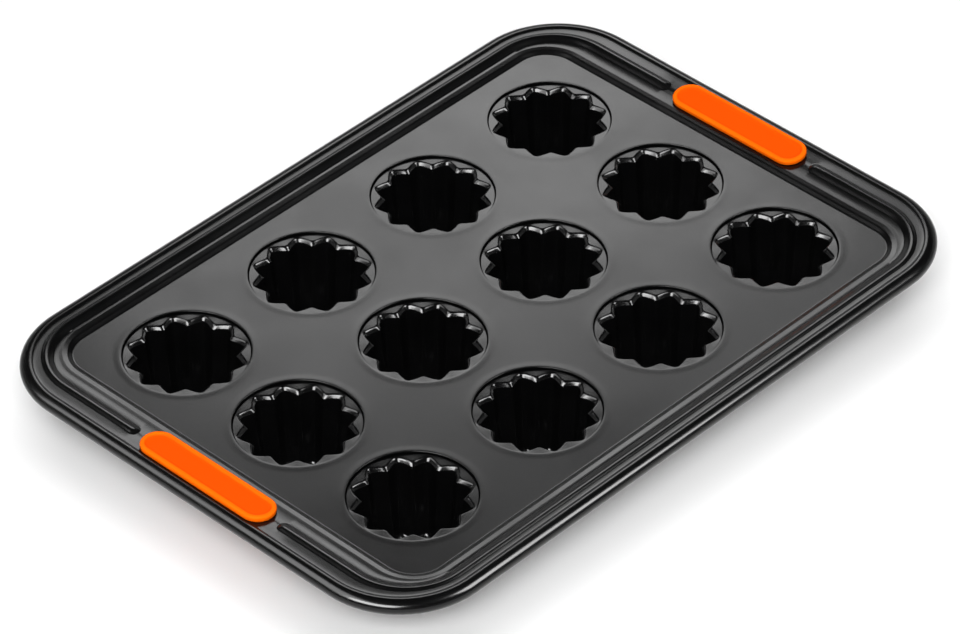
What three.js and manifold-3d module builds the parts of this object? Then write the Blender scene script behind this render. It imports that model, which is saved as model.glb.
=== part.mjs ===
// Canele baking pan: a pressed steel tray with fluted cups seamed into its floor,
// a stiffening wire inside its rolled edge and a soft grip in each short end.
// Millimetres, +Z up. The origin is on the table, under the middle of the pan.
import * as THREE from 'three';
import { mergeVertices } from 'three/addons/utils/BufferGeometryUtils.js';
import Module from 'manifold-3d';

// Cup layout
const CUP_COLUMNS = 4;
const CUP_ROWS = 3;
const COLUMN_PITCH = 84;
const ROW_PITCH = 76;

// Sheet and fits
const TRAY_SHEET = 0.8;
const CUP_SHEET = 0.6;
const FIT_GAP = 0.3;

// Holes in the tray floor, each with a collar turned down and flared under the sheet
const HOLE_RADIUS = 31.3;
const HOLE_EDGE = 0.5;
const COLLAR_DEPTH = 2.4;
const COLLAR_FLARE = 0.8;

// Fluted cup, inside radii, with a flange that shows a step below the floor
const CUP_HEIGHT = 44;
const FLANGE_STEP = 1.2;
const FLUTES = 12;
const LOBE_HALF_ANGLE = 3.5;
const FLANGE_WIDTH = 1.4;
const FLUTE_DEPTH = 3.6;
const FOOT_LOBE_RADIUS = 23;
const FOOT_CUSP_RADIUS = 20.5;
const FOOT_HEIGHT = 4;
const BASE_RADIUS = 18.5;

// Tray floor around the holes, and the ledge between the floor and the rolled edge
const END_MARGIN = 11;
const SIDE_MARGIN = 12.2;
const FLOOR_CORNER_RADIUS = 16;
const END_LEDGE = 27.5;
const SIDE_LEDGE = 19.3;
const WALL_RUN = 4.6;
const WALL_RISE = 1.6;
const WALL_STEPS = 3;

// Raised bead along the ledge, placed and sized by the ledge's width, which stops short of each grip
const BEAD_HEIGHT = 1.2;
const BEAD_HALF_SHARE = 0.13;
const BEAD_PLACE = 0.605;
const BEAD_GRIP_GAP = 5;
const BEAD_FADE = 4;
const BEAD_STEPS = 4;
const BEAD_FADE_STEPS = 2;

// Wire, and the edge of the sheet rolled round it with some slack
const WIRE_RADIUS = 2.4;
const WIRE_SLACK = 0.7;
const WIRE_SIDES = 8;
const ROLL_CREST = 1;
const ROLL_CORNER_RADIUS = 44;
const ROLL_STEPS = 7;
const CORNER_STEPS = 6;

// Soft grips: a pad above the ledge, a pad below it and a neck through a slot
const GRIP_LENGTH = 84;
const GRIP_WIDTH = 18;
const GRIP_ROLL_GAP = 0.1;
const GRIP_HEIGHT = 2.8;
const GRIP_EDGE = 1;
const PANEL_BORDER = 2.8;
const PANEL_DEPTH = 0.6;
const SLOT_LENGTH = 62;
const SLOT_WIDTH = 7;
const UNDER_PAD_LIP = 2.4;
const UNDER_PAD_HEIGHT = 1.6;
const OUTLINE_STEPS = 6;

// Finish
const COATED_STEEL = { color: 0x2e2f31, roughness: 0.38, metalness: 0.35 };
const BARE_STEEL = { color: 0x8b8d90, roughness: 0.4, metalness: 1 };
const ORANGE_SILICONE = { color: 0xff5a0a, roughness: 0.55, metalness: 0 };

// Worked-out levels, from the table up
const FLANGE_LEVEL = CUP_HEIGHT;
const FLOOR_LEVEL = FLANGE_LEVEL + FLANGE_STEP;
const FLOOR_UNDERSIDE = FLOOR_LEVEL - TRAY_SHEET;
const COLLAR_END = FLOOR_LEVEL - COLLAR_DEPTH;
const GROOVE_LEVEL = COLLAR_END - FIT_GAP;
const HOOK_TOP = FLOOR_UNDERSIDE - FIT_GAP;

// Worked-out mouth: the flange fits in the hole and is narrowest at the lobes
const FLANGE_RADIUS = HOLE_RADIUS - FIT_GAP;
const MOUTH_LOBE_RADIUS = FLANGE_RADIUS - FLANGE_WIDTH;
const MOUTH_CUSP_RADIUS = MOUTH_LOBE_RADIUS - FLUTE_DEPTH;

// Worked-out roll: it is formed over the wire, and its crest stands above the ledge
const ROLL_INNER_RADIUS = WIRE_RADIUS + WIRE_SLACK + FIT_GAP;
const ROLL_RADIUS = ROLL_INNER_RADIUS + TRAY_SHEET;
const LEDGE_RISE = ROLL_RADIUS - ROLL_CREST;

// Worked-out half sizes of the floor and of the rolled edge's centre line
const FLOOR_HALF = new THREE.Vector2(
  (CUP_COLUMNS - 1) * COLUMN_PITCH / 2 + HOLE_RADIUS + END_MARGIN,
  (CUP_ROWS - 1) * ROW_PITCH / 2 + HOLE_RADIUS + SIDE_MARGIN,
);
const ROLL_HALF = FLOOR_HALF.clone().add(new THREE.Vector2(END_LEDGE, SIDE_LEDGE));

// The ledge runs into the roll where the roll's outside is as high as the ledge
const JOIN_ANGLE = Math.PI - Math.asin(LEDGE_RISE / ROLL_RADIUS);
const INNER_JOIN_ANGLE = Math.PI - Math.asin((LEDGE_RISE - TRAY_SHEET) / ROLL_INNER_RADIUS);
const CURL_END_ANGLE = -Math.PI;
const ROLL_JOIN = -ROLL_RADIUS * Math.cos(JOIN_ANGLE);
const LEDGE_SLOPE = (LEDGE_RISE - WALL_RISE) / (END_LEDGE - ROLL_JOIN - WALL_RUN);
const LEDGE_TILT = Math.atan(LEDGE_SLOPE);
const GRIP_FROM_ROLL = ROLL_JOIN + GRIP_ROLL_GAP + GRIP_WIDTH / 2;

const wasm = await Module();
wasm.setup();

// A closed surface made ring by ring
class Skin {
  constructor() {
    this.points = [];
    this.triangles = [];
  }

  // Adds a closed ring of points and gives back their numbers
  ring(points) {
    const first = this.points.length;
    this.points.push(...points);
    return points.map((point, k) => first + k);
  }

  // Joins two anticlockwise rings of the same length; from a lower to a higher one it faces out
  strip(one, next) {
    for (let k = 0; k < one.length; k += 1) {
      const after = (k + 1) % one.length;
      this.triangles.push([one[k], one[after], next[after]]);
      this.triangles.push([one[k], next[after], next[k]]);
    }
  }

  strips(rings) {
    for (let k = 0; k + 1 < rings.length; k += 1) this.strip(rings[k], rings[k + 1]);
  }

  // Fills a level ring, with holes, facing up or down
  fill(outline, holes, facesUp) {
    const flat = (ring) => ring.map((id) => new THREE.Vector2(this.points[id].x, this.points[id].y));
    const ids = [outline, ...holes].flat();
    for (const face of THREE.ShapeUtils.triangulateShape(flat(outline), holes.map(flat))) {
      const corners = face.map((k) => ids[k]);
      const turnsLeft = THREE.ShapeUtils.area(flat(corners)) > 0;
      this.triangles.push(turnsLeft === facesUp ? corners : corners.reverse());
    }
  }

  geometry() {
    const geometry = new THREE.BufferGeometry().setFromPoints(this.points);
    geometry.setIndex(this.triangles.flat());
    return geometry;
  }
}

// Closed geometry to a solid that can be joined and cut, and back
function toSolid(geometry, matrix = new THREE.Matrix4()) {
  const bare = geometry.clone().applyMatrix4(matrix);
  bare.deleteAttribute('normal');
  bare.deleteAttribute('uv');
  const merged = mergeVertices(bare);
  return new wasm.Manifold(new wasm.Mesh({
    numProp: 3,
    vertProperties: new Float32Array(merged.attributes.position.array),
    triVerts: new Uint32Array(merged.index.array),
  }));
}

function fromSolid(solid) {
  const mesh = solid.getMesh();
  const geometry = new THREE.BufferGeometry();
  geometry.setAttribute('position', new THREE.BufferAttribute(new Float32Array(mesh.vertProperties), 3));
  geometry.setIndex(new THREE.BufferAttribute(new Uint32Array(mesh.triVerts), 1));
  return geometry;
}

function makeMesh(name, geometry, finish) {
  geometry.computeVertexNormals();
  const mesh = new THREE.Mesh(geometry, new THREE.MeshStandardMaterial(finish));
  mesh.name = name;
  return mesh;
}

// Places of the cups, column by column
function cupPlaces() {
  const places = [];
  for (let column = 0; column < CUP_COLUMNS; column += 1) {
    for (let row = 0; row < CUP_ROWS; row += 1) {
      places.push({
        name: `cup_${column + 1}_${row + 1}`,
        x: (column - (CUP_COLUMNS - 1) / 2) * COLUMN_PITCH,
        y: (row - (CUP_ROWS - 1) / 2) * ROW_PITCH,
      });
    }
  }
  return places;
}

// Points at the same angles all round, three to a flute
function roundRing(radius, level, x = 0, y = 0) {
  const points = [];
  const count = 3 * FLUTES;
  for (let k = 0; k < count; k += 1) {
    const angle = (k - 0.5) * 2 * Math.PI / count;
    points.push(new THREE.Vector3(x + radius * Math.cos(angle), y + radius * Math.sin(angle), level));
  }
  return points;
}

// Each flute is a narrow lobe, flat between two points, with straight flanks to the cusps beside it
function flutedRing(lobeRadius, cuspRadius, level) {
  const pitch = 2 * Math.PI / FLUTES;
  const lobe = THREE.MathUtils.degToRad(LOBE_HALF_ANGLE);
  const points = [];
  for (let k = 0; k < FLUTES; k += 1) {
    const corners = [[-lobe, lobeRadius], [lobe, lobeRadius], [pitch / 2, cuspRadius]];
    for (const [turn, radius] of corners) {
      const angle = k * pitch + turn;
      points.push(new THREE.Vector3(radius * Math.cos(angle), radius * Math.sin(angle), level));
    }
  }
  return points;
}

// Outside of the flared collar at a level under the floor
function collarOutside(level) {
  const share = (FLOOR_UNDERSIDE - level) / (FLOOR_UNDERSIDE - COLLAR_END);
  return HOLE_RADIUS + TRAY_SHEET + COLLAR_FLARE * Math.min(share, 1);
}

// One drawn cup: base, fluted wall, flange inside the hole, groove under the collar and hook round its flare
function cupGeometry() {
  const skin = new Skin();
  const wall = CUP_SHEET;
  const hookFoot = collarOutside(COLLAR_END) + FIT_GAP;
  const hookHead = collarOutside(HOOK_TOP) + FIT_GAP;
  const rings = [
    roundRing(BASE_RADIUS, wall),
    flutedRing(FOOT_LOBE_RADIUS, FOOT_CUSP_RADIUS, FOOT_HEIGHT),
    flutedRing(MOUTH_LOBE_RADIUS, MOUTH_CUSP_RADIUS, FLANGE_LEVEL),
    roundRing(FLANGE_RADIUS, FLANGE_LEVEL),
    roundRing(FLANGE_RADIUS, GROOVE_LEVEL),
    roundRing(hookFoot, GROOVE_LEVEL),
    roundRing(hookHead, HOOK_TOP),
    roundRing(hookHead + wall, HOOK_TOP),
    roundRing(hookFoot + wall, GROOVE_LEVEL - wall),
    roundRing(FLANGE_RADIUS - wall, GROOVE_LEVEL - wall),
    roundRing(FLANGE_RADIUS - wall, FLANGE_LEVEL - wall),
    flutedRing(MOUTH_LOBE_RADIUS + wall, MOUTH_CUSP_RADIUS + wall, FLANGE_LEVEL - wall),
    flutedRing(FOOT_LOBE_RADIUS + wall, FOOT_CUSP_RADIUS + wall, FOOT_HEIGHT),
    roundRing(BASE_RADIUS, 0),
  ].map((points) => skin.ring(points));
  skin.fill(rings[0], [], true);
  skin.strips(rings.reverse());
  skin.fill(rings[0], [], false);
  return skin.geometry();
}

// A point of a rounded rectangle's corner arc
function cornerPoint(half, radius, side, out) {
  const centre = new THREE.Vector2(side[0] * (half.x - radius), side[1] * (half.y - radius));
  return centre.addScaledVector(out, radius);
}

// Cross-sections of the rim, anticlockwise: a floor point, a roll point and how much bead there is
function rimStations() {
  const stations = [];
  const corners = [[1, 1], [-1, 1], [-1, -1], [1, -1]];
  corners.forEach((side, quarter) => {
    for (let k = 0; k <= CORNER_STEPS; k += 1) {
      const angle = (quarter + k / CORNER_STEPS) * Math.PI / 2;
      const out = new THREE.Vector2(Math.cos(angle), Math.sin(angle));
      stations.push({
        out,
        floor: cornerPoint(FLOOR_HALF, FLOOR_CORNER_RADIUS, side, out),
        roll: cornerPoint(ROLL_HALF, ROLL_CORNER_RADIUS, side, out),
        bead: 1,
      });
    }
    if (side[0] !== side[1]) stations.push(...gripStations(side));
  });
  return stations;
}

// Cross-sections along a short end, where the bead fades out on both sides of the grip
function gripStations([sideX, sideY]) {
  const fade = [];
  for (let k = 0; k <= BEAD_FADE_STEPS; k += 1) {
    const share = k / BEAD_FADE_STEPS;
    const y = GRIP_LENGTH / 2 + BEAD_GRIP_GAP + BEAD_FADE * share;
    fade.push({ y, bead: THREE.MathUtils.smoothstep(share, 0, 1) });
  }
  const before = fade.slice().reverse();
  const after = fade.map(({ y, bead }) => ({ y: -y, bead }));
  return [...before, ...after].map(({ y, bead }) => ({
    out: new THREE.Vector2(sideX, 0),
    floor: new THREE.Vector2(sideX * FLOOR_HALF.x, sideY * y),
    roll: new THREE.Vector2(sideX * ROLL_HALF.x, sideY * y),
    bead,
  }));
}

// Top of the ledge as [distance from the floor's edge, height above the floor]
function ledgeProfile(width, bead) {
  const end = width - ROLL_JOIN;
  const slope = (LEDGE_RISE - WALL_RISE) / (end - WALL_RUN);
  const profile = [];
  for (let k = 0; k <= WALL_STEPS; k += 1) {
    const share = k / WALL_STEPS;
    profile.push([WALL_RUN * share, WALL_RISE * THREE.MathUtils.smoothstep(share, 0, 1)]);
  }
  for (let k = 0; k <= BEAD_STEPS; k += 1) {
    const share = 2 * k / BEAD_STEPS - 1;
    const along = width * (BEAD_PLACE + BEAD_HALF_SHARE * share);
    const lift = BEAD_HEIGHT * bead * Math.cos(share * Math.PI / 2) ** 2;
    profile.push([along, WALL_RISE + (along - WALL_RUN) * slope + lift]);
  }
  return profile;
}

// Outline of the whole rim section: ledge top, roll outside, roll inside, ledge underside
function rimSection(station) {
  const width = station.floor.distanceTo(station.roll);
  const top = ledgeProfile(width, station.bead);
  const ledgePoint = ([along, height], drop) => {
    const flat = station.floor.clone().lerp(station.roll, along / width);
    return new THREE.Vector3(flat.x, flat.y, FLOOR_LEVEL + height - drop);
  };
  const rollPoint = (radius, angle) => {
    const flat = station.roll.clone().addScaledVector(station.out, radius * Math.cos(angle));
    return new THREE.Vector3(flat.x, flat.y, FLOOR_LEVEL + radius * Math.sin(angle));
  };
  const arc = (radius, from, to) => {
    const points = [];
    for (let k = 0; k <= ROLL_STEPS; k += 1) {
      points.push(rollPoint(radius, from + (to - from) * k / ROLL_STEPS));
    }
    return points;
  };
  return [
    ...top.map((point) => ledgePoint(point, 0)),
    ...arc(ROLL_RADIUS, JOIN_ANGLE, CURL_END_ANGLE),
    ...arc(ROLL_INNER_RADIUS, CURL_END_ANGLE, INNER_JOIN_ANGLE),
    ...top.reverse().map((point) => ledgePoint(point, TRAY_SHEET)),
  ];
}

// The grip's own frame: on the ledge, X out across it, Z off its top face
function gripMatrix(side) {
  const x = ROLL_HALF.x - GRIP_FROM_ROLL;
  const height = WALL_RISE + (END_LEDGE - GRIP_FROM_ROLL - WALL_RUN) * LEDGE_SLOPE;
  const turn = new THREE.Matrix4().makeRotationZ(side > 0 ? 0 : Math.PI);
  const place = new THREE.Matrix4().makeTranslation(x, 0, FLOOR_LEVEL + height);
  const tilt = new THREE.Matrix4().makeRotationY(-LEDGE_TILT);
  return turn.multiply(place).multiply(tilt);
}

// Long outline with round ends, width along X and length along Y
function stadium(width, length) {
  const reach = (length - width) / 2;
  const shape = new THREE.Shape();
  shape.absarc(0, reach, width / 2, 0, Math.PI, false);
  shape.absarc(0, -reach, width / 2, Math.PI, 2 * Math.PI, false);
  return shape;
}

function slab(shape, from, to) {
  const options = { depth: to - from, bevelEnabled: false, curveSegments: OUTLINE_STEPS };
  return new THREE.ExtrudeGeometry(shape, options).translate(0, 0, from);
}

function trayGeometry() {
  const skin = new Skin();
  const sections = rimStations().map(rimSection);
  const rings = sections[0].map((point, k) => skin.ring(sections.map((section) => section[k])));
  const topHoles = [];
  const underHoles = [];
  for (const { x, y } of cupPlaces()) {
    const collar = [
      roundRing(HOLE_RADIUS + HOLE_EDGE, FLOOR_LEVEL, x, y),
      roundRing(HOLE_RADIUS, FLOOR_LEVEL - HOLE_EDGE, x, y),
      roundRing(HOLE_RADIUS + COLLAR_FLARE, COLLAR_END, x, y),
      roundRing(collarOutside(COLLAR_END), COLLAR_END, x, y),
      roundRing(collarOutside(FLOOR_UNDERSIDE), FLOOR_UNDERSIDE, x, y),
    ].map((points) => skin.ring(points));
    topHoles.push(collar[0]);
    underHoles.push(collar.at(-1));
    skin.strips(collar);
  }
  skin.strips(rings.slice().reverse());
  skin.fill(rings[0], topHoles, true);
  skin.fill(rings.at(-1), underHoles, false);

  let tray = toSolid(skin.geometry());
  for (const side of [1, -1]) {
    const slot = slab(stadium(SLOT_WIDTH, SLOT_LENGTH), -GRIP_WIDTH / 2, GRIP_WIDTH / 2);
    tray = tray.subtract(toSolid(slot, gripMatrix(side)));
  }
  return fromSolid(tray);
}

// Round wire lying on the bottom of the curl
function wireGeometry() {
  const skin = new Skin();
  const stations = rimStations();
  const rings = [];
  for (let k = 0; k < WIRE_SIDES; k += 1) {
    const angle = -2 * Math.PI * k / WIRE_SIDES;
    const level = FLOOR_LEVEL - WIRE_SLACK + WIRE_RADIUS * Math.sin(angle);
    rings.push(skin.ring(stations.map(({ roll, out }) => {
      const flat = roll.clone().addScaledVector(out, WIRE_RADIUS * Math.cos(angle));
      return new THREE.Vector3(flat.x, flat.y, level);
    })));
  }
  skin.strips([...rings, rings[0]].reverse());
  return skin.geometry();
}

// Grip in its own frame: the ledge's top face is at zero
function gripGeometry() {
  const padBottom = FIT_GAP;
  const padTop = padBottom + GRIP_HEIGHT;
  const underTop = -TRAY_SHEET - FIT_GAP;
  const neckWidth = SLOT_WIDTH - 2 * FIT_GAP;
  const neckLength = SLOT_LENGTH - 2 * FIT_GAP;
  const edge = {
    depth: GRIP_HEIGHT - 2 * GRIP_EDGE,
    bevelThickness: GRIP_EDGE,
    bevelSize: GRIP_EDGE,
    bevelSegments: 2,
    curveSegments: OUTLINE_STEPS,
  };
  const padShape = stadium(GRIP_WIDTH - 2 * GRIP_EDGE, GRIP_LENGTH - 2 * GRIP_EDGE);
  const pad = new THREE.ExtrudeGeometry(padShape, edge).translate(0, 0, padBottom + GRIP_EDGE);
  const panelShape = stadium(GRIP_WIDTH - 2 * PANEL_BORDER, GRIP_LENGTH - 2 * PANEL_BORDER);
  const panel = slab(panelShape, padTop - PANEL_DEPTH, padTop + GRIP_HEIGHT);
  const neck = slab(stadium(neckWidth, neckLength), underTop - UNDER_PAD_HEIGHT / 2, padTop - GRIP_HEIGHT / 2);
  const underShape = stadium(SLOT_WIDTH + 2 * UNDER_PAD_LIP, SLOT_LENGTH + 2 * UNDER_PAD_LIP);
  const under = slab(underShape, underTop - UNDER_PAD_HEIGHT, underTop);
  return fromSolid(toSolid(pad).subtract(toSolid(panel)).add(toSolid(neck)).add(toSolid(under)));
}

const pan = new THREE.Group();
pan.add(makeMesh('tray', trayGeometry(), COATED_STEEL));
pan.add(makeMesh('rim_wire', wireGeometry(), BARE_STEEL));
for (const { name, x, y } of cupPlaces()) {
  const cup = makeMesh(name, cupGeometry(), COATED_STEEL);
  cup.position.set(x, y, 0);
  pan.add(cup);
}
for (const [name, side] of [['grip_right', 1], ['grip_left', -1]]) {
  const grip = makeMesh(name, gripGeometry(), ORANGE_SILICONE);
  grip.applyMatrix4(gripMatrix(side));
  pan.add(grip);
}

export default pan;
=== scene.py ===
"""Canele pan: pressed tray, seamed fluted cups, wired edge and soft grips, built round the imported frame."""

import math

import bmesh
import bpy
from bpy.props import FloatProperty, FloatVectorProperty, IntProperty, PointerProperty
from mathutils import Matrix, Quaternion, Vector


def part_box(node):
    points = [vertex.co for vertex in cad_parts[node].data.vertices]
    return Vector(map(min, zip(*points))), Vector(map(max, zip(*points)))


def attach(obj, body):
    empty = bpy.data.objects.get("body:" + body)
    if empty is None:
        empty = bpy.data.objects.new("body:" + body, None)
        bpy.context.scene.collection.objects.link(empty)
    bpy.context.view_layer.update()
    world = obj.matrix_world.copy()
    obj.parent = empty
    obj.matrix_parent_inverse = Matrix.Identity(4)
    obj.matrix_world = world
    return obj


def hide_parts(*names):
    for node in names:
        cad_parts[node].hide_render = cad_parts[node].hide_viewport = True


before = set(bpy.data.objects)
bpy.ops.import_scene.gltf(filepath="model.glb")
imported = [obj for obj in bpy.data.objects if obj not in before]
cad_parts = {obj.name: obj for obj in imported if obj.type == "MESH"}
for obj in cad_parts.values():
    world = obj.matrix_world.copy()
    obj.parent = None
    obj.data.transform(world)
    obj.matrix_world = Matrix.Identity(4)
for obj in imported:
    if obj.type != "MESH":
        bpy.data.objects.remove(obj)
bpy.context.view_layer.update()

bl_info = {
    "name": "Canele Pan",
    "version": (1, 0, 0),
    "blender": (4, 5, 0),
    "location": "3D View > Sidebar > Canele Pan",
    "description": "Builds a canele pan from its tray, cups, wire and grips",
    "category": "Add Mesh",
}

MM = 0.001
BODY = "root"
SMOOTH_ANGLE = 35
TRAY_LOW, TRAY_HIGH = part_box("tray")
CUP_NODES = sorted(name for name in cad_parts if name.startswith("cup_"))


def length(name, description, default):
    """A size in metres, with its default given in millimetres."""
    return FloatProperty(name=name, description=description, default=default * MM, unit="LENGTH", precision=5)


def pair(name, description, default):
    """Two sizes in metres, at the short ends and along the long sides, with defaults in millimetres."""
    return FloatVectorProperty(name=name, description=description, default=[size * MM for size in default],
                               size=2, unit="LENGTH", precision=5)


def degrees(name, description, default):
    """An angle in radians, with its default given in degrees."""
    return FloatProperty(name=name, description=description, default=math.radians(default), subtype="ANGLE")


def portion(name, description, default):
    """A share from 0 to 1."""
    return FloatProperty(name=name, description=description, default=default, subtype="FACTOR")


def rounding(name, description, default):
    """The shares of a slope that are rounded at its start and at its end."""
    return FloatVectorProperty(name=name, description=description, default=default, size=2)


def power(name, description, default):
    """A lamp's power in watts."""
    return FloatProperty(name=name, description=description, default=default, unit="POWER")


def colour(name, description, default):
    """A plain linear colour."""
    return FloatVectorProperty(name=name, description=description, default=default, subtype="COLOR", size=3)


class PanTraySizes(bpy.types.PropertyGroup):
    """Sizes of the pressed tray"""

    sheet: length("Sheet", "Thickness of the tray sheet", 0.8)
    hole_radius: length("Hole radius", "Radius of each cup hole", 31.3)
    hole_edge: length("Hole edge", "Rounding of the floor into each hole", 0.2)
    hole_swell: length("Hole swell", "How far the floor is pulled up round each hole", 0.05)
    swell_width: length("Swell width", "How far from each hole the floor is pulled up", 5)
    collar_depth: length("Collar depth", "How far the collar is turned down", 2.4)
    collar_flare: length("Collar flare", "How much wider the collar's foot is", 0.8)
    floor_corner: length("Floor corner", "Corner radius of the floor", 16)
    ledge: pair("Ledge", "From the edge of the floor to the middle of the roll", (27.5, 19.3))
    wall_start: length("Wall start", "From the edge of the floor to the foot of the low wall", 0.3)
    wall_run: length("Wall run", "Width of the steep part of the low wall", 3.3)
    wall_rise: length("Wall rise", "Height of the steep part of the low wall", 1.3)
    wall_round: rounding("Wall rounding", "Rounded shares of that part, at its foot and top", (0.25, 0.2))
    brow_start: length("Brow start", "From the edge of the floor to the gentle slope on top of the wall", 3.2)
    brow_run: length("Brow run", "Width of that gentle slope", 3)
    brow_rise: length("Brow rise", "Height of that gentle slope", 0.35)
    brow_round: rounding("Brow rounding", "Rounded shares of that slope, at its foot and top", (0.1, 0.1))
    shelf: pair("Shelf", "From the edge of the floor to where the ledge starts to rise", (7.6, 7.5))
    shelf_dip: length("Shelf dip", "How far the shelf falls behind the top of the wall", 0.07)
    ledge_rise: length("Ledge rise", "Height of the ledge at the roll", 3)
    heel_height: length("Heel height", "Height of the bead's outer foot above the sloping ledge", 0.3)
    bead_height: length("Bead height", "Height of the bead above the sloping ledge", 1.15)
    bead_crest: pair("Bead crest", "From the edge of the floor to the top of the bead", (16.3, 12.1))
    bead_inner: pair("Bead inner", "From the top of the bead to its inner foot", (4.2, 4.6))
    bead_outer: pair("Bead outer", "From the top of the bead to its outer foot", (3.3, 2.2))
    inner_round: rounding("Inner rounding", "Rounded shares of the bead's inner side, at its foot and top",
                          (0.06, 0.55))
    outer_round: rounding("Outer rounding", "Rounded shares of the bead's outer side, at its foot and top",
                          (0.2, 0.5))
    bead_stop: length("Bead stop", "From the middle of a short end to the tip of the bead", 47.3)
    bead_tip: length("Bead tip", "Length of the bead's rounded tip", 3.6)
    land_fade: length("Land fade", "Length over which the outer land falls to the ledge at the grips", 12)
    join_edge: length("Join edge", "Rounding where the ledge meets the roll", 0.7)
    roll_radius: length("Roll radius", "Outside radius of the rolled edge", 4.2)
    roll_height: length("Roll height", "Height of the rolled edge above the floor", 3.5)
    roll_lean: length("Roll lean", "How far the top of the roll lies inside its middle", 0.8)
    roll_corner: length("Roll corner", "Corner radius along the middle of the roll", 44)


class PanCupSizes(bpy.types.PropertyGroup):
    """Sizes of the fluted cups"""

    sheet: length("Sheet", "Thickness of the cup sheet", 0.6)
    flutes: IntProperty(name="Flutes", description="Flutes round a cup", default=12, min=6)
    flange: length("Flange level", "Height of the flange that shows in the hole", 44)
    flange_radius: length("Flange radius", "Outer radius of the flange", 31)
    flange_edge: length("Flange edge", "Rounding of the flange into the groove under the collar", 0.35)
    groove: length("Groove level", "Height of the groove under the collar", 42.5)
    groove_edge: length("Groove edge", "Rounding at the bottom of the groove", 0.3)
    land_drop: length("Land drop", "How far the flange falls towards the mouth", 0.1)
    land_lobe: length("Land lobe", "Radius of the lobes where the flange starts to round over", 30)
    land_cusp: length("Land cusp", "Radius of the cusps where the flange starts to round over", 26.3)
    mouth_drop: length("Mouth drop", "Depth of the mouth's bevel", 1.7)
    mouth_round: rounding("Mouth rounding", "Rounded shares of that bevel, at its top and bottom", (0.55, 0))
    mouth_lobe: length("Mouth lobe", "Inside radius of the lobes under the mouth's bevel", 27.8)
    mouth_cusp: length("Mouth cusp", "Inside radius of the cusps under the mouth's bevel", 23.7)
    turn: portion("Turn", "Share of a flank that is rounded at each end", 0.2)
    foot_lobe: length("Foot lobe", "Inside radius of the lobes above the base", 23)
    foot_cusp: length("Foot cusp", "Inside radius of the cusps above the base", 20.5)
    foot_height: length("Foot height", "Where the wall starts to turn into the base", 4)
    base_radius: length("Base radius", "Radius of the flat base", 18.5)
    hook_foot: length("Hook foot", "Inside radius of the hook at the flange", 33.2)
    hook_head: length("Hook head", "Inside radius of the hook at its top", 32.55)
    hook_top: length("Hook top", "Height of the hook's top", 44.1)


class PanWireSizes(bpy.types.PropertyGroup):
    """Sizes of the wire in the rolled edge"""

    radius: length("Radius", "Radius of the wire", 2.4)
    drop: length("Drop", "How far the wire lies below the middle of the roll", 0.7)


class PanGripSizes(bpy.types.PropertyGroup):
    """Sizes of the soft grips"""

    length: length("Length", "Length of the pad along the short end", 84)
    width: length("Width", "Width of the pad across the ledge", 18)
    height: length("Height", "Thickness of the pad", 2.8)
    inset: length("Inset", "From the middle of the roll to the middle of the pad", 11.4)
    gap: length("Gap", "Space between the pad and the ledge", 0.12)
    edge: length("Edge", "Rounding of the pad's outer edge", 1.2)
    foot_edge: length("Foot edge", "Rounding of the pads' lower edges", 0.5)
    border: length("Border", "Width of the raised border round the panel", 2.4)
    panel_depth: length("Panel depth", "How far the panel is sunk", 0.9)
    panel_slope: length("Panel slope", "Width of the slope from the border down to the panel", 0.9)
    panel_foot: length("Panel foot", "How far that slope reaches inside the border", 0.5)
    slot_length: length("Slot length", "Length of the slot through the ledge", 62)
    slot_width: length("Slot width", "Width of the slot through the ledge", 7)
    under_lip: length("Under lip", "How far the lower pad reaches past the slot", 2.4)
    under_height: length("Under height", "Thickness of the lower pad", 1.6)
    under_edge: length("Under edge", "Rounding of the lower pad's upper edge", 0.3)


class PanFinish(bpy.types.PropertyGroup):
    """Colours of the finishes"""

    coating: colour("Coating", "Dark coating on the tray and cups", (0.0016, 0.0016, 0.0017))
    coating_worn: colour("Worn coating", "Coating where it is rubbed", (0.0023, 0.0023, 0.0024))
    silicone: colour("Silicone", "Soft grips", (1.0, 0.078, 0.0))
    # Painted highlight: this paler silicone paints the raised border of each grip lighter than its sunk
    # panel.
    silicone_painted_highlight: colour("Pale silicone", "Soft grips along their rubbed edges", (1.0, 0.145, 0.001))
    steel: colour("Steel", "Bare wire", (0.45, 0.45, 0.46))
    steel_dark: colour("Dark steel", "Dull streaks on the wire", (0.25, 0.25, 0.26))


class PanStage(bpy.types.PropertyGroup):
    """Camera, floor and light"""

    azimuth: degrees("Azimuth", "Camera's side of the pan", -45.13986)
    elevation: degrees("Elevation", "Camera's height above the horizon", 39.28243)
    roll: degrees("Roll", "Camera's turn about its own axis", -1.16928)
    target: FloatVectorProperty(name="Target", description="Point that the camera looks at", subtype="XYZ",
                                default=(-0.01108, -0.00809, 0.0452), precision=5)
    distance: length("Distance", "From the camera to its target", 2582.9)
    lens: FloatProperty(name="Lens", description="Focal length in millimetres", default=201.075)
    floor: colour("Floor", "Plain pale floor", (0.95, 0.95, 0.95))
    floor_drop: length("Floor drop", "How far the floor lies under the cups, so that no faces meet", 0.05)
    floor_radius: length("Floor radius", "Where the floor starts to turn up", 5000)
    floor_bend: length("Floor bend", "Radius of the bend between floor and wall", 1000)
    wall_height: length("Wall height", "Height of the wall round the floor", 2500)
    glow: portion("Glow", "Share of the floor that shows as plain white", 0.1)
    dark: portion("Dark", "Light of the room above the wall", 0.008)
    fill: power("Fill", "Power of the overhead fill", 84)
    front: power("Front", "Power of the fill on the camera's side", 104)
    rear: power("Rear", "Power of the panel behind the pan", 7.5)
    left: power("Left", "Power of the panel on the left", 26)
    key: power("Key", "Power of the panel above the left grip", 58)
    right: power("Right", "Power of the panel on the right", 32)


def deselect():
    """Leaves nothing selected in object mode."""
    bpy.ops.object.select_all(action="DESELECT")


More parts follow.
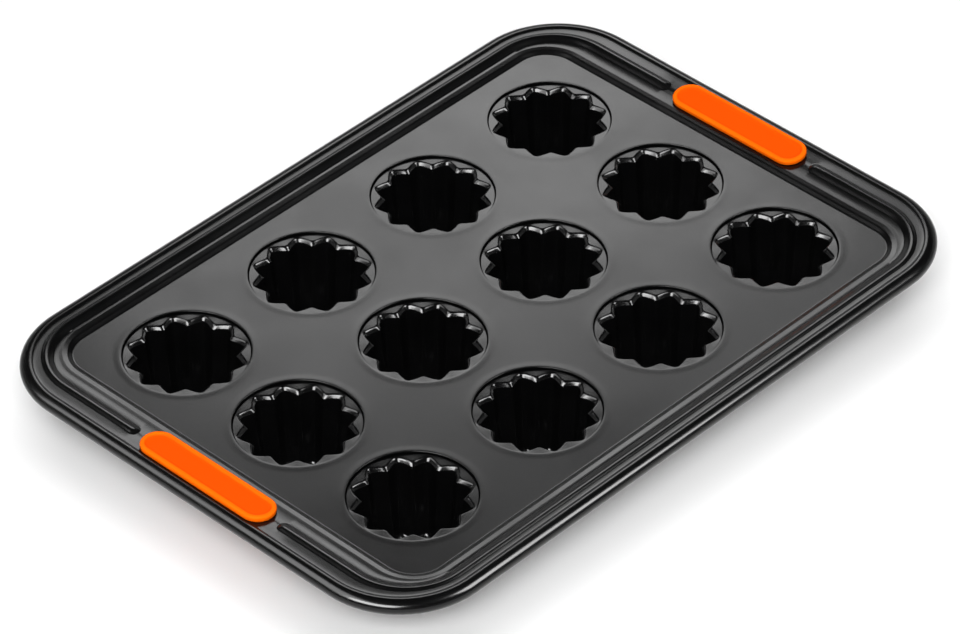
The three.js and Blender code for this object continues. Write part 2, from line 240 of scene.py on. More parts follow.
def start_piece(name):
    """Adds an empty piece and leaves it open in edit mode."""
    deselect()
    bpy.ops.mesh.primitive_plane_add(size=MM)
    piece = bpy.context.object
    piece.name = name
    piece.data.name = name
    bpy.ops.object.mode_set(mode="EDIT")
    bpy.ops.mesh.select_mode(type="VERT")
    bpy.ops.mesh.delete(type="VERT")
    bmesh.from_edit_mesh(piece.data).verts.layers.int.new("ring")
    return piece


def mark_ring(piece):
    """Numbers the selected vertices as the piece's next ring."""
    mesh = bmesh.from_edit_mesh(piece.data)
    ring = mesh.verts.layers.int["ring"]
    number = max((vert[ring] for vert in mesh.verts), default=0) + 1
    for vert in mesh.verts:
        if vert.select:
            vert[ring] = number
    bmesh.update_edit_mesh(piece.data)
    return number


def rounded_ring(piece, half, radius, level, segments=20):
    """Adds an open ring with round corners, lying level."""
    bpy.ops.mesh.select_all(action="DESELECT")
    bpy.ops.mesh.primitive_plane_add(size=2, location=(0, 0, level))
    bpy.ops.transform.resize(value=(half[0], half[1], 1), center_override=(0, 0, level))
    bpy.ops.mesh.bevel(affect="VERTICES", offset=radius, segments=segments)
    number = mark_ring(piece)
    bpy.ops.mesh.delete(type="ONLY_FACE")
    return number


def round_ring(piece, radius, level, count):
    """Adds an open circle, lying level."""
    bpy.ops.mesh.select_all(action="DESELECT")
    bpy.ops.mesh.primitive_circle_add(vertices=count, radius=radius, location=(0, 0, level))
    return mark_ring(piece)


def pick(piece, test):
    """Selects the vertices that pass a test on place and ring number, and what lies between them."""
    bpy.ops.mesh.select_mode(type="VERT")
    bpy.ops.mesh.select_all(action="DESELECT")
    mesh = bmesh.from_edit_mesh(piece.data)
    ring = mesh.verts.layers.int["ring"]
    for vert in mesh.verts:
        vert.select = test(vert.co, vert[ring])
    mesh.select_flush_mode()
    bmesh.update_edit_mesh(piece.data)


def pick_rings(piece, numbers):
    """Selects the edges that run along the given rings."""
    bpy.ops.mesh.select_mode(type="EDGE")
    bpy.ops.mesh.select_all(action="DESELECT")
    mesh = bmesh.from_edit_mesh(piece.data)
    ring = mesh.verts.layers.int["ring"]
    for edge in mesh.edges:
        one, two = edge.verts
        edge.select = one[ring] == two[ring] and one[ring] in numbers
    mesh.select_flush_mode()
    bmesh.update_edit_mesh(piece.data)


def bridge(piece, rings):
    """Joins rings to each other in order, each one held clear above the last while it is joined."""
    clear = 10 * MM
    for last, ring in zip(rings, rings[1:]):
        pick_rings(piece, (ring,))
        bpy.ops.transform.translate(value=(0, 0, clear))
        pick_rings(piece, (last, ring))
        bpy.ops.mesh.bridge_edge_loops()
        pick_rings(piece, (ring,))
        bpy.ops.transform.translate(value=(0, 0, -clear))


def extrude_ring(piece, number):
    """Extrudes a ring's edges in place and gives back the new ring's number."""
    pick_rings(piece, (number,))
    bpy.ops.mesh.extrude_edges_move()
    return mark_ring(piece)


def cap(piece, number):
    """Closes a ring with one face."""
    pick_rings(piece, (number,))
    bpy.ops.mesh.edge_face_add()


def face_up(piece, place):
    """Turns an open sheet so that its face nearest a place looks up."""
    bpy.ops.mesh.select_mode(type="FACE")
    bpy.ops.mesh.select_all(action="SELECT")
    bpy.ops.mesh.normals_make_consistent(inside=False)
    mesh = bmesh.from_edit_mesh(piece.data)
    nearest = min(mesh.faces, key=lambda face: (face.calc_center_median() - place).length)
    if nearest.normal.z < 0:
        bpy.ops.mesh.flip_normals()


def face_out():
    """Turns a closed shape's faces outwards."""
    bpy.ops.mesh.select_all(action="SELECT")
    bpy.ops.mesh.normals_make_consistent(inside=False)


def close_piece(piece, sheet=0, angle=SMOOTH_ANGLE):
    """Leaves edit mode, gives an open sheet its thickness and shades the piece smooth."""
    bpy.ops.object.mode_set(mode="OBJECT")
    piece.data.attributes.remove(piece.data.attributes["ring"])
    if sheet:
        solid = piece.modifiers.new("Sheet", "SOLIDIFY")
        solid.thickness = sheet
        solid.offset = -1
        solid.use_even_offset = True
        bpy.ops.object.modifier_apply(modifier=solid.name)
    bpy.ops.object.shade_smooth_by_angle(angle=math.radians(angle))


def copy_piece(piece, name):
    """Copies a piece with its own mesh and makes the copy active."""
    deselect()
    piece.select_set(True)
    bpy.context.view_layer.objects.active = piece
    bpy.ops.object.duplicate(linked=False)
    copied = bpy.context.object
    copied.name = name
    copied.data.name = name
    return copied


def hand_over(piece, node, material):
    """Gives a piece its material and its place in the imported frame."""
    piece.data.materials.clear()
    piece.data.materials.append(material)
    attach(piece, BODY)
    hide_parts(node)


def smooth_step(share):
    """An eased share from 0 to 1."""
    share = min(max(share, 0), 1)
    return share * share * (3 - 2 * share)


def ramp(share, start, end):
    """A straight rise from 0 to 1 that is rounded over the given shares at its start and end."""
    share = min(max(share, 0), 1)
    steep = 1 / (1 - (start + end) / 2)
    if share < start:
        return steep * share ** 2 / (2 * start)
    if share > 1 - end:
        return 1 - steep * (1 - share) ** 2 / (2 * end)
    return steep * (share - start / 2)


class Nodes:
    """A material's or world's node tree, with short ways to add and link nodes."""

    def __init__(self, tree):
        self.tree = tree
        self.tree.nodes.clear()

    def add(self, kind, inputs=None, **settings):
        """Adds a node, with settings, socket values and links."""
        node = self.tree.nodes.new(kind)
        for key, value in settings.items():
            setattr(node, key, value)
        for key, value in (inputs or {}).items():
            if isinstance(value, bpy.types.NodeSocket):
                self.tree.links.new(value, node.inputs[key])
            else:
                node.inputs[key].default_value = value
        return node

    def math(self, operation, *values):
        """Adds a math node and gives back its result."""
        return self.add("ShaderNodeMath", dict(enumerate(values)), operation=operation).outputs["Value"]

    def ramp(self, factor, stops):
        """Adds a colour ramp with stops of place and colour."""
        node = self.add("ShaderNodeValToRGB", {"Fac": factor})
        elements = node.color_ramp.elements
        while len(elements) < len(stops):
            elements.new(1)
        for element, (place, tint) in zip(elements, stops):
            element.position = place
            element.color = (*tint, 1)
        return node.outputs["Color"]


def new_material(name):
    """An empty node material."""
    material = bpy.data.materials.new(name)
    material.use_nodes = True
    return material, Nodes(material.node_tree)


def coating_material(name, finish, roughness):
    """Dark satin coating: fine sprayed texture, faint mottling and slightly rubbed patches."""
    material, nodes = new_material(name)
    place = nodes.add("ShaderNodeTexCoord").outputs["Object"]
    mottle = nodes.add("ShaderNodeTexNoise", {"Vector": place, "Scale": 60, "Detail": 4}).outputs["Fac"]
    rubbed = nodes.add("ShaderNodeTexNoise", {"Vector": place, "Scale": 14, "Detail": 6, "Roughness": 0.6})
    tint = nodes.ramp(mottle, [(0.35, finish.coating), (0.7, finish.coating_worn)])
    gloss = nodes.add("ShaderNodeMapRange", {
        "Value": rubbed.outputs["Fac"], "From Min": 0.35, "From Max": 0.65,
        "To Min": roughness - 0.03, "To Max": roughness + 0.04}).outputs["Result"]
    spray = nodes.add("ShaderNodeTexNoise", {"Vector": place, "Scale": 2600, "Detail": 2}).outputs["Fac"]
    bump = nodes.add("ShaderNodeBump", {"Height": spray, "Strength": 0.25, "Distance": 0.03 * MM})
    shader = nodes.add("ShaderNodeBsdfPrincipled", {
        "Base Color": tint, "Roughness": gloss, "IOR": 1.38, "Normal": bump.outputs["Normal"]})
    nodes.add("ShaderNodeOutputMaterial", {"Surface": shader.outputs["BSDF"]})
    return material


def silicone_material(finish, tray, grip):
    """Matt orange silicone with a fine moulded grain and a painted highlight that makes the raised border
    paler than the sunk panel.
    """
    material, nodes = new_material("grip_silicone")
    place = nodes.add("ShaderNodeTexCoord").outputs["Object"]
    cloud = nodes.add("ShaderNodeTexNoise", {"Vector": place, "Scale": 90, "Detail": 3}).outputs["Fac"]
    parts = nodes.add("ShaderNodeSeparateXYZ", {"Vector": place}).outputs
    middle = TRAY_HIGH.x - tray.roll_radius - grip.inset
    across = nodes.math("SUBTRACT", nodes.math("ABSOLUTE", parts["X"]), middle)
    beyond = nodes.math("SUBTRACT", nodes.math("ABSOLUTE", parts["Y"]), (grip.length - grip.width) / 2)
    beyond = nodes.math("MAXIMUM", beyond, 0)
    squares = nodes.math("MULTIPLY_ADD", beyond, beyond, nodes.math("MULTIPLY", across, across))
    reach = nodes.math("MULTIPLY_ADD", cloud, 0.8 * MM, nodes.math("SQRT", squares))
    edge = grip.width / 2 - grip.border
    # Painted highlight: the raised border, found by its distance from the pad's middle, is painted paler.
    painted_highlight = nodes.add("ShaderNodeMapRange", {"Value": reach, "From Min": edge, "From Max": edge + 0.8 * MM})
    tint = nodes.ramp(painted_highlight.outputs["Result"], [(0, finish.silicone), (1, finish.silicone_painted_highlight)])
    grain = nodes.add("ShaderNodeTexNoise", {"Vector": place, "Scale": 1800, "Detail": 3}).outputs["Fac"]
    gloss = nodes.add("ShaderNodeMapRange", {
        "Value": cloud, "To Min": 0.55, "To Max": 0.68}).outputs["Result"]
    bump = nodes.add("ShaderNodeBump", {"Height": grain, "Strength": 0.3, "Distance": 0.05 * MM})
    shader = nodes.add("ShaderNodeBsdfPrincipled", {
        "Base Color": tint, "Roughness": gloss, "Normal": bump.outputs["Normal"], "IOR": 1.42,
        "Specular IOR Level": 0.02})
    nodes.add("ShaderNodeOutputMaterial", {"Surface": shader.outputs["BSDF"]})
    return material


def steel_material(finish):
    """Drawn steel wire with dull streaks."""
    material, nodes = new_material("wire_steel")
    place = nodes.add("ShaderNodeTexCoord").outputs["Object"]
    streak = nodes.add("ShaderNodeTexNoise", {"Vector": place, "Scale": 700, "Detail": 4}).outputs["Fac"]
    tint = nodes.ramp(streak, [(0.3, finish.steel_dark), (0.65, finish.steel)])
    gloss = nodes.add("ShaderNodeMapRange", {"Value": streak, "To Min": 0.28, "To Max": 0.5})
    bump = nodes.add("ShaderNodeBump", {"Height": streak, "Strength": 0.2, "Distance": 0.05 * MM})
    shader = nodes.add("ShaderNodeBsdfPrincipled", {
        "Base Color": tint, "Roughness": gloss.outputs["Result"], "Metallic": 1.0,
        "Normal": bump.outputs["Normal"]})
    nodes.add("ShaderNodeOutputMaterial", {"Surface": shader.outputs["BSDF"]})
    return material


class PAN_OT_tray(bpy.types.Operator):
    """Builds the pressed tray with its holes, wall, bead and rolled edge"""

    bl_idname = "pan.tray"
    bl_label = "Tray"

    def execute(self, context):
        sizes = context.scene.pan_tray
        piece = start_piece("tray_sheet")
        rim, beads, join = self.rim(piece, sizes)
        bridge(piece, rim)
        self.lift_bead(piece, sizes, beads)
        collar = self.collar(piece, sizes)
        pick_rings(piece, (rim[0], collar))
        bpy.ops.mesh.fill()
        pick_rings(piece, (join,))
        bpy.ops.mesh.bevel(affect="EDGES", offset=sizes.join_edge, segments=3)
        face_up(piece, Vector((0, 0, TRAY_HIGH.z - sizes.roll_radius)))
        close_piece(piece, sizes.sheet)
        self.cut_slots(piece, context.scene)
        bpy.ops.object.shade_smooth_by_angle(angle=math.radians(SMOOTH_ANGLE))
        material = coating_material("tray_coating", context.scene.pan_finish, 0.2)
        hand_over(piece, "tray", material)
        return {"FINISHED"}

    def wall_height(self, sizes, run):
        """Height of the low wall round the floor, with the gentle slope on its top."""
        wall = ramp((run - sizes.wall_start) / sizes.wall_run, *sizes.wall_round)
        brow = ramp((run - sizes.brow_start) / sizes.brow_run, *sizes.brow_round)
        return sizes.wall_rise * wall + sizes.brow_rise * brow

    def land_lift(self, sizes, across):
        """Lift of the ledge that levels the outer land: 0 at the bead's inner foot and at the roll."""
        return sizes.heel_height * ((1 + across) / 2 if across < 1 else 2 - across)

    def bead_lift(self, sizes, across):
        """Height of the bead on that ledge, from its inner foot at -1 to its outer foot at 1."""
        if abs(across) >= 1:
            return 0
        if across < 0:
            height = sizes.bead_height * ramp(1 + across, *sizes.inner_round)
        else:
            rise = sizes.bead_height - sizes.heel_height
            height = sizes.heel_height + rise * ramp(1 - across, *sizes.outer_round)
        return height - self.land_lift(sizes, across)

    def rim(self, piece, sizes):
        """Adds the rings from the floor over the ledge and round the roll."""
        wall_steps, bead_steps, roll_steps = 18, 10, 24
        crease = 0.15 * MM
        floor = TRAY_HIGH.z - sizes.roll_radius
        roll = Vector((TRAY_HIGH.x - sizes.roll_radius, TRAY_HIGH.y - sizes.roll_radius))
        ledge, shelf, crest = Vector(sizes.ledge), Vector(sizes.shelf), Vector(sizes.bead_crest)
        inner, outer = Vector(sizes.bead_inner), Vector(sizes.bead_outer)
        reach, base = ledge_line(sizes)
        join = ledge - Vector((reach, reach))

        def ledge_ring(run, height):
            share = (run.x / ledge.x + run.y / ledge.y) / 2
            radius = sizes.floor_corner + (sizes.roll_corner - sizes.floor_corner) * share
            return rounded_ring(piece, roll - ledge + run, radius, floor + height)

        top = sizes.brow_start + sizes.brow_run
        rings = [ledge_ring(Vector((1, 1)) * (sizes.wall_start - crease), 0)]
        for step in range(wall_steps + 1):
            run = sizes.wall_start + (top - sizes.wall_start) * step / wall_steps
            rings.append(ledge_ring(Vector((run, run)), self.wall_height(sizes, run)))
        rings.append(ledge_ring(shelf, base))
        beads = {}
        land_middle = 1.5
        for across in [*(step / bead_steps - 1 for step in range(2 * bead_steps + 1)), land_middle]:
            run = crest + (inner if across < 0 else outer) * min(across, 1)
            if across > 1:
                run += (join - run) * (across - 1)
            share = ((run.x - shelf.x) / (join.x - shelf.x) + (run.y - shelf.y) / (join.y - shelf.y)) / 2
            number = ledge_ring(run, base + (sizes.ledge_rise - base) * share)
            rings.append(number)
            beads[number] = across
        join_angle = math.pi - math.asin(sizes.ledge_rise / sizes.roll_height)
        for step in range(roll_steps + 1):
            turn = join_angle + (-math.pi - join_angle) * step / roll_steps
            lean, tall = 0, sizes.roll_radius
            if math.sin(turn) > 0:
                lean, tall = sizes.roll_lean, sizes.roll_height
            out = (sizes.roll_radius + math.copysign(lean, math.cos(turn))) * math.cos(turn) - lean
            rings.append(rounded_ring(piece, roll + Vector((out, out)), sizes.roll_corner + out,
                                      floor + tall * math.sin(turn)))
        return rings, beads, rings[-roll_steps - 1]

    def lift_bead(self, piece, sizes, beads):
        """Raises the bead and its outer land, with a rounded tip on each side of the grips."""
        edge = TRAY_HIGH.x - sizes.roll_radius - sizes.ledge[0]
        cuts = [sizes.land_fade * step / 6 for step in (6, 5, 4, 3)]
        cuts += [sizes.bead_tip * step / 8 for step in range(8, -1, -1)]
        for place in [side * (sizes.bead_stop + cut) for side in (1, -1) for cut in cuts]:
            bpy.ops.mesh.select_mode(type="FACE")
            bpy.ops.mesh.select_all(action="DESELECT")
            mesh = bmesh.from_edit_mesh(piece.data)
            for face in mesh.faces:
                middle = face.calc_center_median()
                face.select = abs(middle.x) > edge and abs(middle.y) < sizes.bead_stop + sizes.land_fade
            mesh.select_flush_mode()
            bmesh.update_edit_mesh(piece.data)
            bpy.ops.mesh.bisect(plane_co=(0, place, 0), plane_no=(0, 1, 0))
        mesh = bmesh.from_edit_mesh(piece.data)
        ring = mesh.verts.layers.int["ring"]
        lifts = {}
        for vert in mesh.verts:
            if vert[ring] not in beads:
                continue
            across, beyond = beads[vert[ring]], abs(vert.co.y) - sizes.bead_stop
            past = min(max(0, 1 - beyond / sizes.bead_tip), 1)
            lift = self.land_lift(sizes, across) * smooth_step(beyond / sizes.land_fade)
            lift += self.bead_lift(sizes, math.copysign(math.hypot(across, past), across))
            lift = round(lift, 7)
            if lift > 0:
                lifts.setdefault(lift, []).append(vert.index)
        bpy.ops.mesh.select_mode(type="VERT")
        for lift, numbers in sorted(lifts.items()):
            bpy.ops.mesh.select_all(action="DESELECT")
            mesh = bmesh.from_edit_mesh(piece.data)
            mesh.verts.ensure_lookup_table()
            for number in numbers:
                mesh.verts[number].select = True
            bmesh.update_edit_mesh(piece.data)
            bpy.ops.transform.translate(value=(0, 0, lift))

    def collar(self, piece, sizes):
        """Adds one hole's turned-down collar, copies it to every cup and gives back its outer ring."""
        floor = TRAY_HIGH.z - sizes.roll_radius
        radius, edge, swell = sizes.hole_radius, sizes.hole_edge, sizes.hole_swell
        steps = 96
        path = [(radius + sizes.swell_width * out, swell * rise)
                for out, rise in ((1, 0), (0.72, 0.15), (0.48, 0.7), (0.24, 1))]
        for step in range(7):
            angle = step / 6 * math.pi / 2
            path.append((radius + edge * (1 - math.sin(angle)),
                         swell - (swell + edge) * (1 - math.cos(angle))))
        for step in range(1, 4):
            share = step / 3
            path.append((radius + sizes.collar_flare * share ** 2,
                         -edge - (sizes.collar_depth - edge) * share))
        rings = [round_ring(piece, path[0][0], floor + path[0][1], steps)]
        for (before, above), (out, height) in zip(path, path[1:]):
            rings.append(extrude_ring(piece, rings[-1]))
            bpy.ops.transform.translate(value=(0, 0, height - above))
            factor = out / before
            bpy.ops.transform.resize(value=(factor, factor, 1), center_override=(0, 0, floor + height))
        low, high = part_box(CUP_NODES[0])
        first = (low + high) / 2
        pick(piece, lambda place, ring: ring in rings)
        bpy.ops.transform.translate(value=(first.x, first.y, 0))
        reach = radius + sizes.swell_width + MM
        for node in CUP_NODES[1:]:
            low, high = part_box(node)
            step = (low + high) / 2 - first
            pick(piece, lambda place, ring: ring in rings and (place.xy - first.xy).length < reach)
            bpy.ops.mesh.duplicate()
            bpy.ops.transform.translate(value=(step.x, step.y, 0))
        return rings[0]

    def cut_slots(self, piece, scene):
        """Cuts the slot for each grip's neck through the ledge."""
        sizes = scene.pan_grip
        cutter = start_piece("slot_cutter")
        half = Vector((sizes.slot_width / 2, sizes.slot_length / 2))
        round_end, depth = 0.995, 6 * MM
        rings = [rounded_ring(cutter, half, half.x * round_end, level, 12) for level in (-depth, depth)]
        bridge(cutter, rings)
        for number in rings:
            cap(cutter, number)
        face_out()
        seat_grip(scene)
        bpy.ops.mesh.duplicate()
        bpy.ops.transform.rotate(value=math.pi, orient_axis="Z", center_override=(0, 0, 0))
        bpy.ops.object.mode_set(mode="OBJECT")
        deselect()
        piece.select_set(True)
        bpy.context.view_layer.objects.active = piece
        slots = piece.modifiers.new("Slots", "BOOLEAN")
        slots.operation = "DIFFERENCE"
        slots.solver = "EXACT"
        slots.object = cutter
        bpy.ops.object.modifier_apply(modifier=slots.name)
        deselect()
        cutter.select_set(True)
        bpy.ops.object.delete()
        piece.select_set(True)
        bpy.context.view_layer.objects.active = piece


def ledge_line(tray):
    """From the middle of the roll to where the ledge meets it, and the height where the ledge starts."""
    level = math.sqrt(1 - (tray.ledge_rise / tray.roll_height) ** 2)
    reach = tray.roll_lean + (tray.roll_radius - tray.roll_lean) * level
    return reach, tray.wall_rise + tray.brow_rise - tray.shelf_dip


def seat_grip(scene):
    """Tilts what is selected to the ledge and moves it to the right-hand short end."""
    tray, sizes = scene.pan_tray, scene.pan_grip
    reach, base = ledge_line(tray)
    slope = (tray.ledge_rise - base) / (tray.ledge[0] - reach - tray.shelf[0])
    rise = base + (tray.ledge[0] - sizes.inset - tray.shelf[0]) * slope
    bpy.ops.transform.rotate(value=math.atan(slope), orient_axis="Y", center_override=(0, 0, 0))
    bpy.ops.transform.translate(value=(TRAY_HIGH.x - tray.roll_radius - sizes.inset, 0,
                                       TRAY_HIGH.z - tray.roll_radius + rise))


class PAN_OT_cups(bpy.types.Operator):
    """Builds one fluted cup and copies it into every hole"""

    bl_idname = "pan.cups"
    bl_label = "Cups"

    def execute(self, context):
        sizes = context.scene.pan_cup
        piece = start_piece("cup_shell")
        cap(piece, self.shell(piece, sizes))
        face_up(piece, Vector((0, 0, sizes.sheet)))
        close_piece(piece, sizes.sheet, angle=40)
        material = coating_material("cup_coating", context.scene.pan_finish, 0.17)
        for node in CUP_NODES:
            low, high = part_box(node)
            cup = copy_piece(piece, node.replace("cup", "fluted_cup"))
            bpy.ops.transform.translate(value=((low.x + high.x) / 2, (low.y + high.y) / 2, 0))
            bpy.ops.object.transform_apply(location=True, rotation=True, scale=True)
            hand_over(cup, node, material)
        deselect()
        piece.select_set(True)
        bpy.ops.object.delete()
        return {"FINISHED"}

    def path(self, sizes):
        """Lobe radius, cusp radius and level of each ring, from the hook to the middle of the base."""
        turn, edge, crease = sizes.groove_edge, sizes.flange_edge, 0.1 * MM
        rounds = [
            (sizes.hook_head, sizes.hook_top),
            (sizes.hook_foot, sizes.groove + turn),
            (sizes.hook_foot - 0.3 * turn, sizes.groove + 0.3 * turn),
            (sizes.hook_foot - turn, sizes.groove),
            (sizes.flange_radius + turn, sizes.groove),
            (sizes.flange_radius + 0.3 * turn, sizes.groove + 0.3 * turn),
            (sizes.flange_radius, sizes.groove + turn),
        ]
        for step in range(4):
            bend = step / 3 * math.pi / 2
            rounds.append((sizes.flange_radius - edge * (1 - math.cos(bend)),
                           sizes.flange - edge * (1 - math.sin(bend))))
        rounds.append((sizes.flange_radius - edge - crease, sizes.flange))
        path = [(radius, radius, level) for radius, level in rounds]
        brink = sizes.flange - sizes.land_drop
        path.append((sizes.land_lobe + crease, sizes.land_cusp + crease, brink))
        for step in range(11):
            share = step / 10
            path.append((sizes.land_lobe + (sizes.mouth_lobe - sizes.land_lobe) * share,
                         sizes.land_cusp + (sizes.mouth_cusp - sizes.land_cusp) * share,
                         brink - sizes.mouth_drop * ramp(share, *sizes.mouth_round)))
        top = brink - sizes.mouth_drop
        for share in (0.02, 0.3, 0.6, 1):
            path.append((sizes.mouth_lobe + (sizes.foot_lobe - sizes.mouth_lobe) * share,
                         sizes.mouth_cusp + (sizes.foot_cusp - sizes.mouth_cusp) * share,
                         top + (sizes.foot_height - top) * share))
        for step in range(1, 7):
            angle = step / 6 * math.pi / 2
            inward = 1 - math.cos(angle)
            path.append((sizes.foot_lobe + (sizes.base_radius - sizes.foot_lobe) * inward,
                         sizes.foot_cusp + (sizes.base_radius - sizes.foot_cusp) * inward,
                         sizes.foot_height - (sizes.foot_height - sizes.sheet) * math.sin(angle)))
        path += [(share * sizes.base_radius, share * sizes.base_radius, sizes.sheet) for share in (0.8, 0.4)]
        return path

    def shell(self, piece, sizes):
        """Extrudes a circle along the path and pushes each new ring into its lobes and cusps."""
        steps = 24
        path = self.path(sizes)
        number = round_ring(piece, path[0][0], path[0][2], sizes.flutes * steps)
        shape = [path[0][0]] * (steps // 2 + 1)
        for (lobe, cusp, level), last in zip(path[1:], path):
            number = extrude_ring(piece, number)
            bpy.ops.transform.translate(value=(0, 0, level - last[2]))
            for step, radius in enumerate(shape):
                shape[step] = lobe + (cusp - lobe) * ramp(step / (steps / 2), sizes.turn, sizes.turn)
                self.pick_step(piece, number, step, steps, sizes.flutes)
                factor = shape[step] / radius
                bpy.ops.transform.resize(value=(factor, factor, 1), center_override=(0, 0, level))
        return number

    def pick_step(self, piece, number, step, steps, flutes):
        """Selects a ring's vertices that stand the same way from the middle of their lobes."""
        def here(place, ring):
            turn = round(math.atan2(place.x, place.y) / (2 * math.pi) * flutes * steps) % steps
            return ring == number and min(turn, steps - turn) == step
        pick(piece, here)


class PAN_OT_wire(bpy.types.Operator):
    """Builds the stiffening wire inside the rolled edge"""

    bl_idname = "pan.wire"
    bl_label = "Wire"

    def execute(self, context):
        tray, sizes = context.scene.pan_tray, context.scene.pan_wire
        piece = start_piece("edge_wire")
        roll = Vector((TRAY_HIGH.x - tray.roll_radius, TRAY_HIGH.y - tray.roll_radius))
        steps = 16
        rings = []
        for step in range(steps):
            angle = step / steps * 2 * math.pi
            out = sizes.radius * math.cos(angle)
            level = TRAY_HIGH.z - tray.roll_radius - sizes.drop + sizes.radius * math.sin(angle)
            rings.append(rounded_ring(piece, roll + Vector((out, out)), tray.roll_corner + out, level))
        bridge(piece, [*rings, rings[0]])
        face_out()
        close_piece(piece)
        hand_over(piece, "rim_wire", steel_material(context.scene.pan_finish))
        return {"FINISHED"}


class PAN_OT_grips(bpy.types.Operator):
    """Builds one soft grip and copies it to the other short end"""

    bl_idname = "pan.grips"
    bl_label = "Grips"

    def execute(self, context):
        scene = context.scene
        sizes = scene.pan_grip
        piece = start_piece("soft_grip_right")
        rings = self.rings(piece, sizes, scene.pan_tray.sheet)
        bridge(piece, rings)
        cap(piece, rings[0])
        cap(piece, rings[-1])
        face_out()
        seat_grip(scene)
        close_piece(piece, angle=50)
        other = copy_piece(piece, "soft_grip_left")
        bpy.ops.object.mode_set(mode="EDIT")
        bpy.ops.mesh.select_all(action="SELECT")
        bpy.ops.transform.rotate(value=math.pi, orient_axis="Z", center_override=(0, 0, 0))
        bpy.ops.object.mode_set(mode="OBJECT")
        material = silicone_material(scene.pan_finish, scene.pan_tray, sizes)
        hand_over(piece, "grip_right", material)
        hand_over(other, "grip_left", material)
        return {"FINISHED"}

    def rings(self, piece, sizes, sheet):
        """Adds the rings from the panel over the border, down the neck and round the lower pad."""
        top = sizes.gap + sizes.height
        panel = top - sizes.panel_depth
        under = -sheet - sizes.gap
        low = under - sizes.under_height
        edge, foot, lip, flat = sizes.edge, sizes.foot_edge, sizes.under_edge, 2 * MM
        slope = sizes.border + sizes.panel_foot
        path = [(sizes.border + flat, panel), (slope, panel)]
        for step in range(1, 6):
            share = step / 5
            path.append((slope - sizes.panel_slope * share, panel + sizes.panel_depth * smooth_step(share)))
        for step in range(1, 9):
            angle = step / 8 * math.pi / 2
            path.append((edge * (1 - math.sin(angle)), top - edge * (1 - math.cos(angle))))
        for step in range(1, 5):
            angle = step / 4 * math.pi / 2
            path.append((foot * (1 - math.cos(angle)), sizes.gap + foot * (1 - math.sin(angle))))
        beside = (sizes.width - sizes.slot_width) / 2
        neck, lower = beside + sizes.gap, beside - sizes.under_lip
        path += [(neck, sizes.gap), (neck, under), (lower + lip, under), (lower, under - lip),
                 (lower, low + foot), (lower + foot, low), (lower + 1.5 * flat, low)]
        shorter = (sizes.length - sizes.slot_length) / 2 - beside
        round_end = 0.97
        rings = []
        for inset, level in path:
            half = Vector((sizes.width / 2 - inset, sizes.length / 2 - inset))
            if level < sizes.gap or inset >= neck:
                half.y -= shorter
            rings.append(rounded_ring(piece, half, half.x * round_end, level, 16))
        return rings


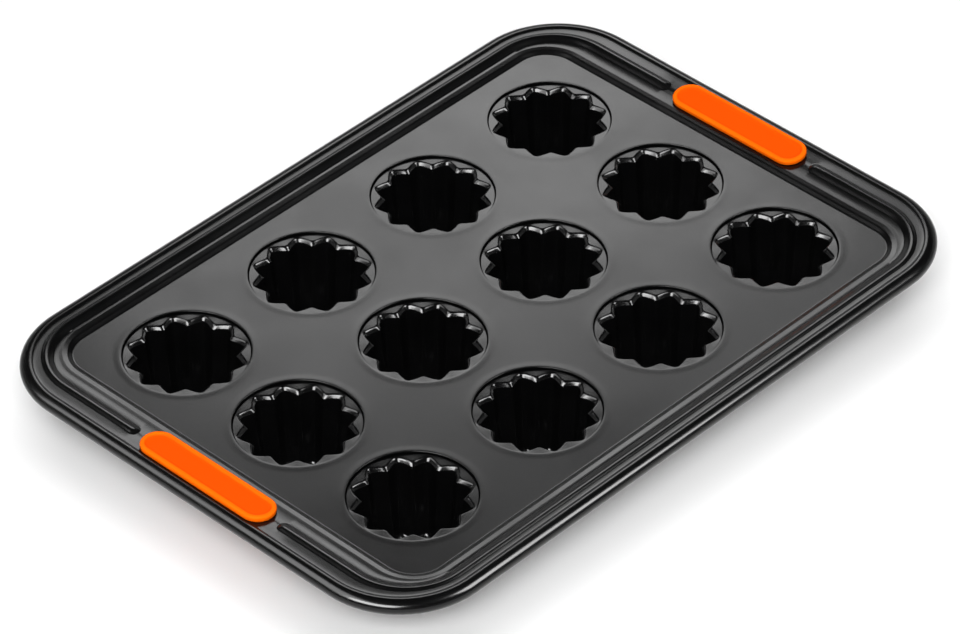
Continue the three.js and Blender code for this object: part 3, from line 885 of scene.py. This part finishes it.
class PAN_OT_stage(bpy.types.Operator):
    """Adds the floor, the light and the camera"""

    bl_idname = "pan.stage"
    bl_label = "Stage"

    def execute(self, context):
        stage = context.scene.pan_stage
        self.floor(stage)
        self.light(context.scene, stage)
        self.camera(context.scene, stage)
        return {"FINISHED"}

    def floor(self, stage):
        """Adds a wide pale floor, a hair under the cups, that turns up into a low wall all round."""
        floor = start_piece("floor")
        reach, bend = stage.floor_radius, stage.floor_bend
        profile = [(reach, -stage.floor_drop)]
        for step in range(1, 9):
            turn = step / 8 * math.pi / 2
            profile.append((reach + bend * math.sin(turn), bend * (1 - math.cos(turn))))
        profile.append((reach + bend, stage.wall_height))
        rings = [round_ring(floor, radius, level, 96) for radius, level in profile]
        bridge(floor, rings)
        cap(floor, rings[0])
        face_up(floor, Vector())
        close_piece(floor)
        material, nodes = new_material("pale_floor")
        place = nodes.add("ShaderNodeTexCoord").outputs["Object"]
        cloud = nodes.add("ShaderNodeTexNoise", {"Vector": place, "Scale": 3}).outputs["Fac"]
        tone = Vector(stage.floor)
        tint = nodes.ramp(cloud, [(0.3, tone * 0.99), (0.7, tone)])
        shader = nodes.add("ShaderNodeBsdfDiffuse", {"Color": tint})
        white = nodes.add("ShaderNodeEmission", {"Color": (1, 1, 1, 1), "Strength": 1.0})
        path = nodes.add("ShaderNodeLightPath")
        seen = nodes.math("MAXIMUM", path.outputs["Is Camera Ray"], path.outputs["Is Glossy Ray"])
        seen = nodes.math("MAXIMUM", seen, path.outputs["Is Transmission Ray"])
        share = nodes.math("MULTIPLY", seen, stage.glow)
        both = nodes.add("ShaderNodeMixShader", {0: share, 1: shader.outputs["BSDF"],
                                                 2: white.outputs["Emission"]})
        nodes.add("ShaderNodeOutputMaterial", {"Surface": both.outputs["Shader"]})
        floor.data.materials.append(material)

    def light(self, scene, stage):
        """Adds a dark room, two soft fills and four panels for the gloss to show."""
        world = bpy.data.worlds.new("studio")
        world.use_nodes = True
        scene.world = world
        nodes = Nodes(world.node_tree)
        room = nodes.add("ShaderNodeBackground", {"Color": (1, 1, 1, 1), "Strength": stage.dark})
        nodes.add("ShaderNodeOutputWorld", {"Surface": room.outputs["Background"]})
        fills = [self.panel("overhead_fill", (-0.27, -0.36, 3.2), (3.2, 3.2), stage.fill),
                 self.panel("front_fill", (-1.85, -1.7, 2.3), (1.4, 0.6), stage.front)]
        panels = [self.panel("rear_panel", (1.495, 1.495, 1.472), (0.8, 0.56), stage.rear, 5),
                  self.panel("key_panel", (-1.15, -0.27, 1.22), (1.1, 0.65), stage.key),
                  self.panel("left_panel", (-0.883, 0.632, 1.295), (1.3, 1.0), stage.left),
                  self.panel("right_panel", (0.662, -0.869, 1.3), (0.7, 0.7), stage.right)]
        for lamp in fills:
            lamp.visible_glossy = False
        for lamp in panels:
            lamp.visible_diffuse = False

    def panel(self, name, place, size, power, turn=0):
        """Adds a soft rectangular lamp that looks at the pan, turned by some degrees about its own axis."""
        deselect()
        aim = Vector(place).to_track_quat("Z", "Y") @ Quaternion((0, 0, 1), math.radians(turn))
        bpy.ops.object.light_add(type="AREA", location=place, rotation=aim.to_euler())
        lamp = bpy.context.object
        lamp.name = name
        lamp.data.shape = "RECTANGLE"
        lamp.data.size, lamp.data.size_y = size
        lamp.data.energy = power
        return lamp

    def camera(self, scene, stage):
        """Adds the camera at the pan's viewing angle."""
        back = Vector((math.sin(stage.azimuth) * math.cos(stage.elevation),
                       -math.cos(stage.azimuth) * math.cos(stage.elevation), math.sin(stage.elevation)))
        right = Vector((0, 0, 1)).cross(back).normalized()
        up = back.cross(right)
        across = right * math.cos(stage.roll) + up * math.sin(stage.roll)
        upward = up * math.cos(stage.roll) - right * math.sin(stage.roll)
        bpy.ops.object.camera_add()
        camera = bpy.context.object
        camera.name = "view_camera"
        place = Vector(stage.target) + back * stage.distance
        camera.matrix_world = Matrix.Translation(place) @ Matrix((across, upward, back)).transposed().to_4x4()
        camera.data.sensor_width = 36
        camera.data.lens = stage.lens
        camera.data.clip_end = 50
        scene.camera = camera
        scene.view_settings.view_transform = "Standard"


class PAN_PT_panel(bpy.types.Panel):
    """Lists the pan's pieces in the sidebar"""

    bl_idname = "PAN_PT_panel"
    bl_label = "Canele Pan"
    bl_space_type = "VIEW_3D"
    bl_region_type = "UI"
    bl_category = "Canele Pan"

    def draw(self, context):
        for operator in OPERATORS:
            self.layout.operator(operator.bl_idname)


GROUPS = {
    "pan_tray": PanTraySizes,
    "pan_cup": PanCupSizes,
    "pan_wire": PanWireSizes,
    "pan_grip": PanGripSizes,
    "pan_finish": PanFinish,
    "pan_stage": PanStage,
}
OPERATORS = (PAN_OT_tray, PAN_OT_cups, PAN_OT_wire, PAN_OT_grips, PAN_OT_stage)
CLASSES = (*GROUPS.values(), *OPERATORS, PAN_PT_panel)


def register():
    for item in CLASSES:
        bpy.utils.register_class(item)
    for name, group in GROUPS.items():
        setattr(bpy.types.Scene, name, PointerProperty(type=group))


def unregister():
    for name in GROUPS:
        delattr(bpy.types.Scene, name)
    for item in reversed(CLASSES):
        bpy.utils.unregister_class(item)


def main():
    register()
    bpy.ops.pan.tray()
    bpy.ops.pan.cups()
    bpy.ops.pan.wire()
    bpy.ops.pan.grips()
    bpy.ops.pan.stage()


if __name__ == "__main__":
    main()
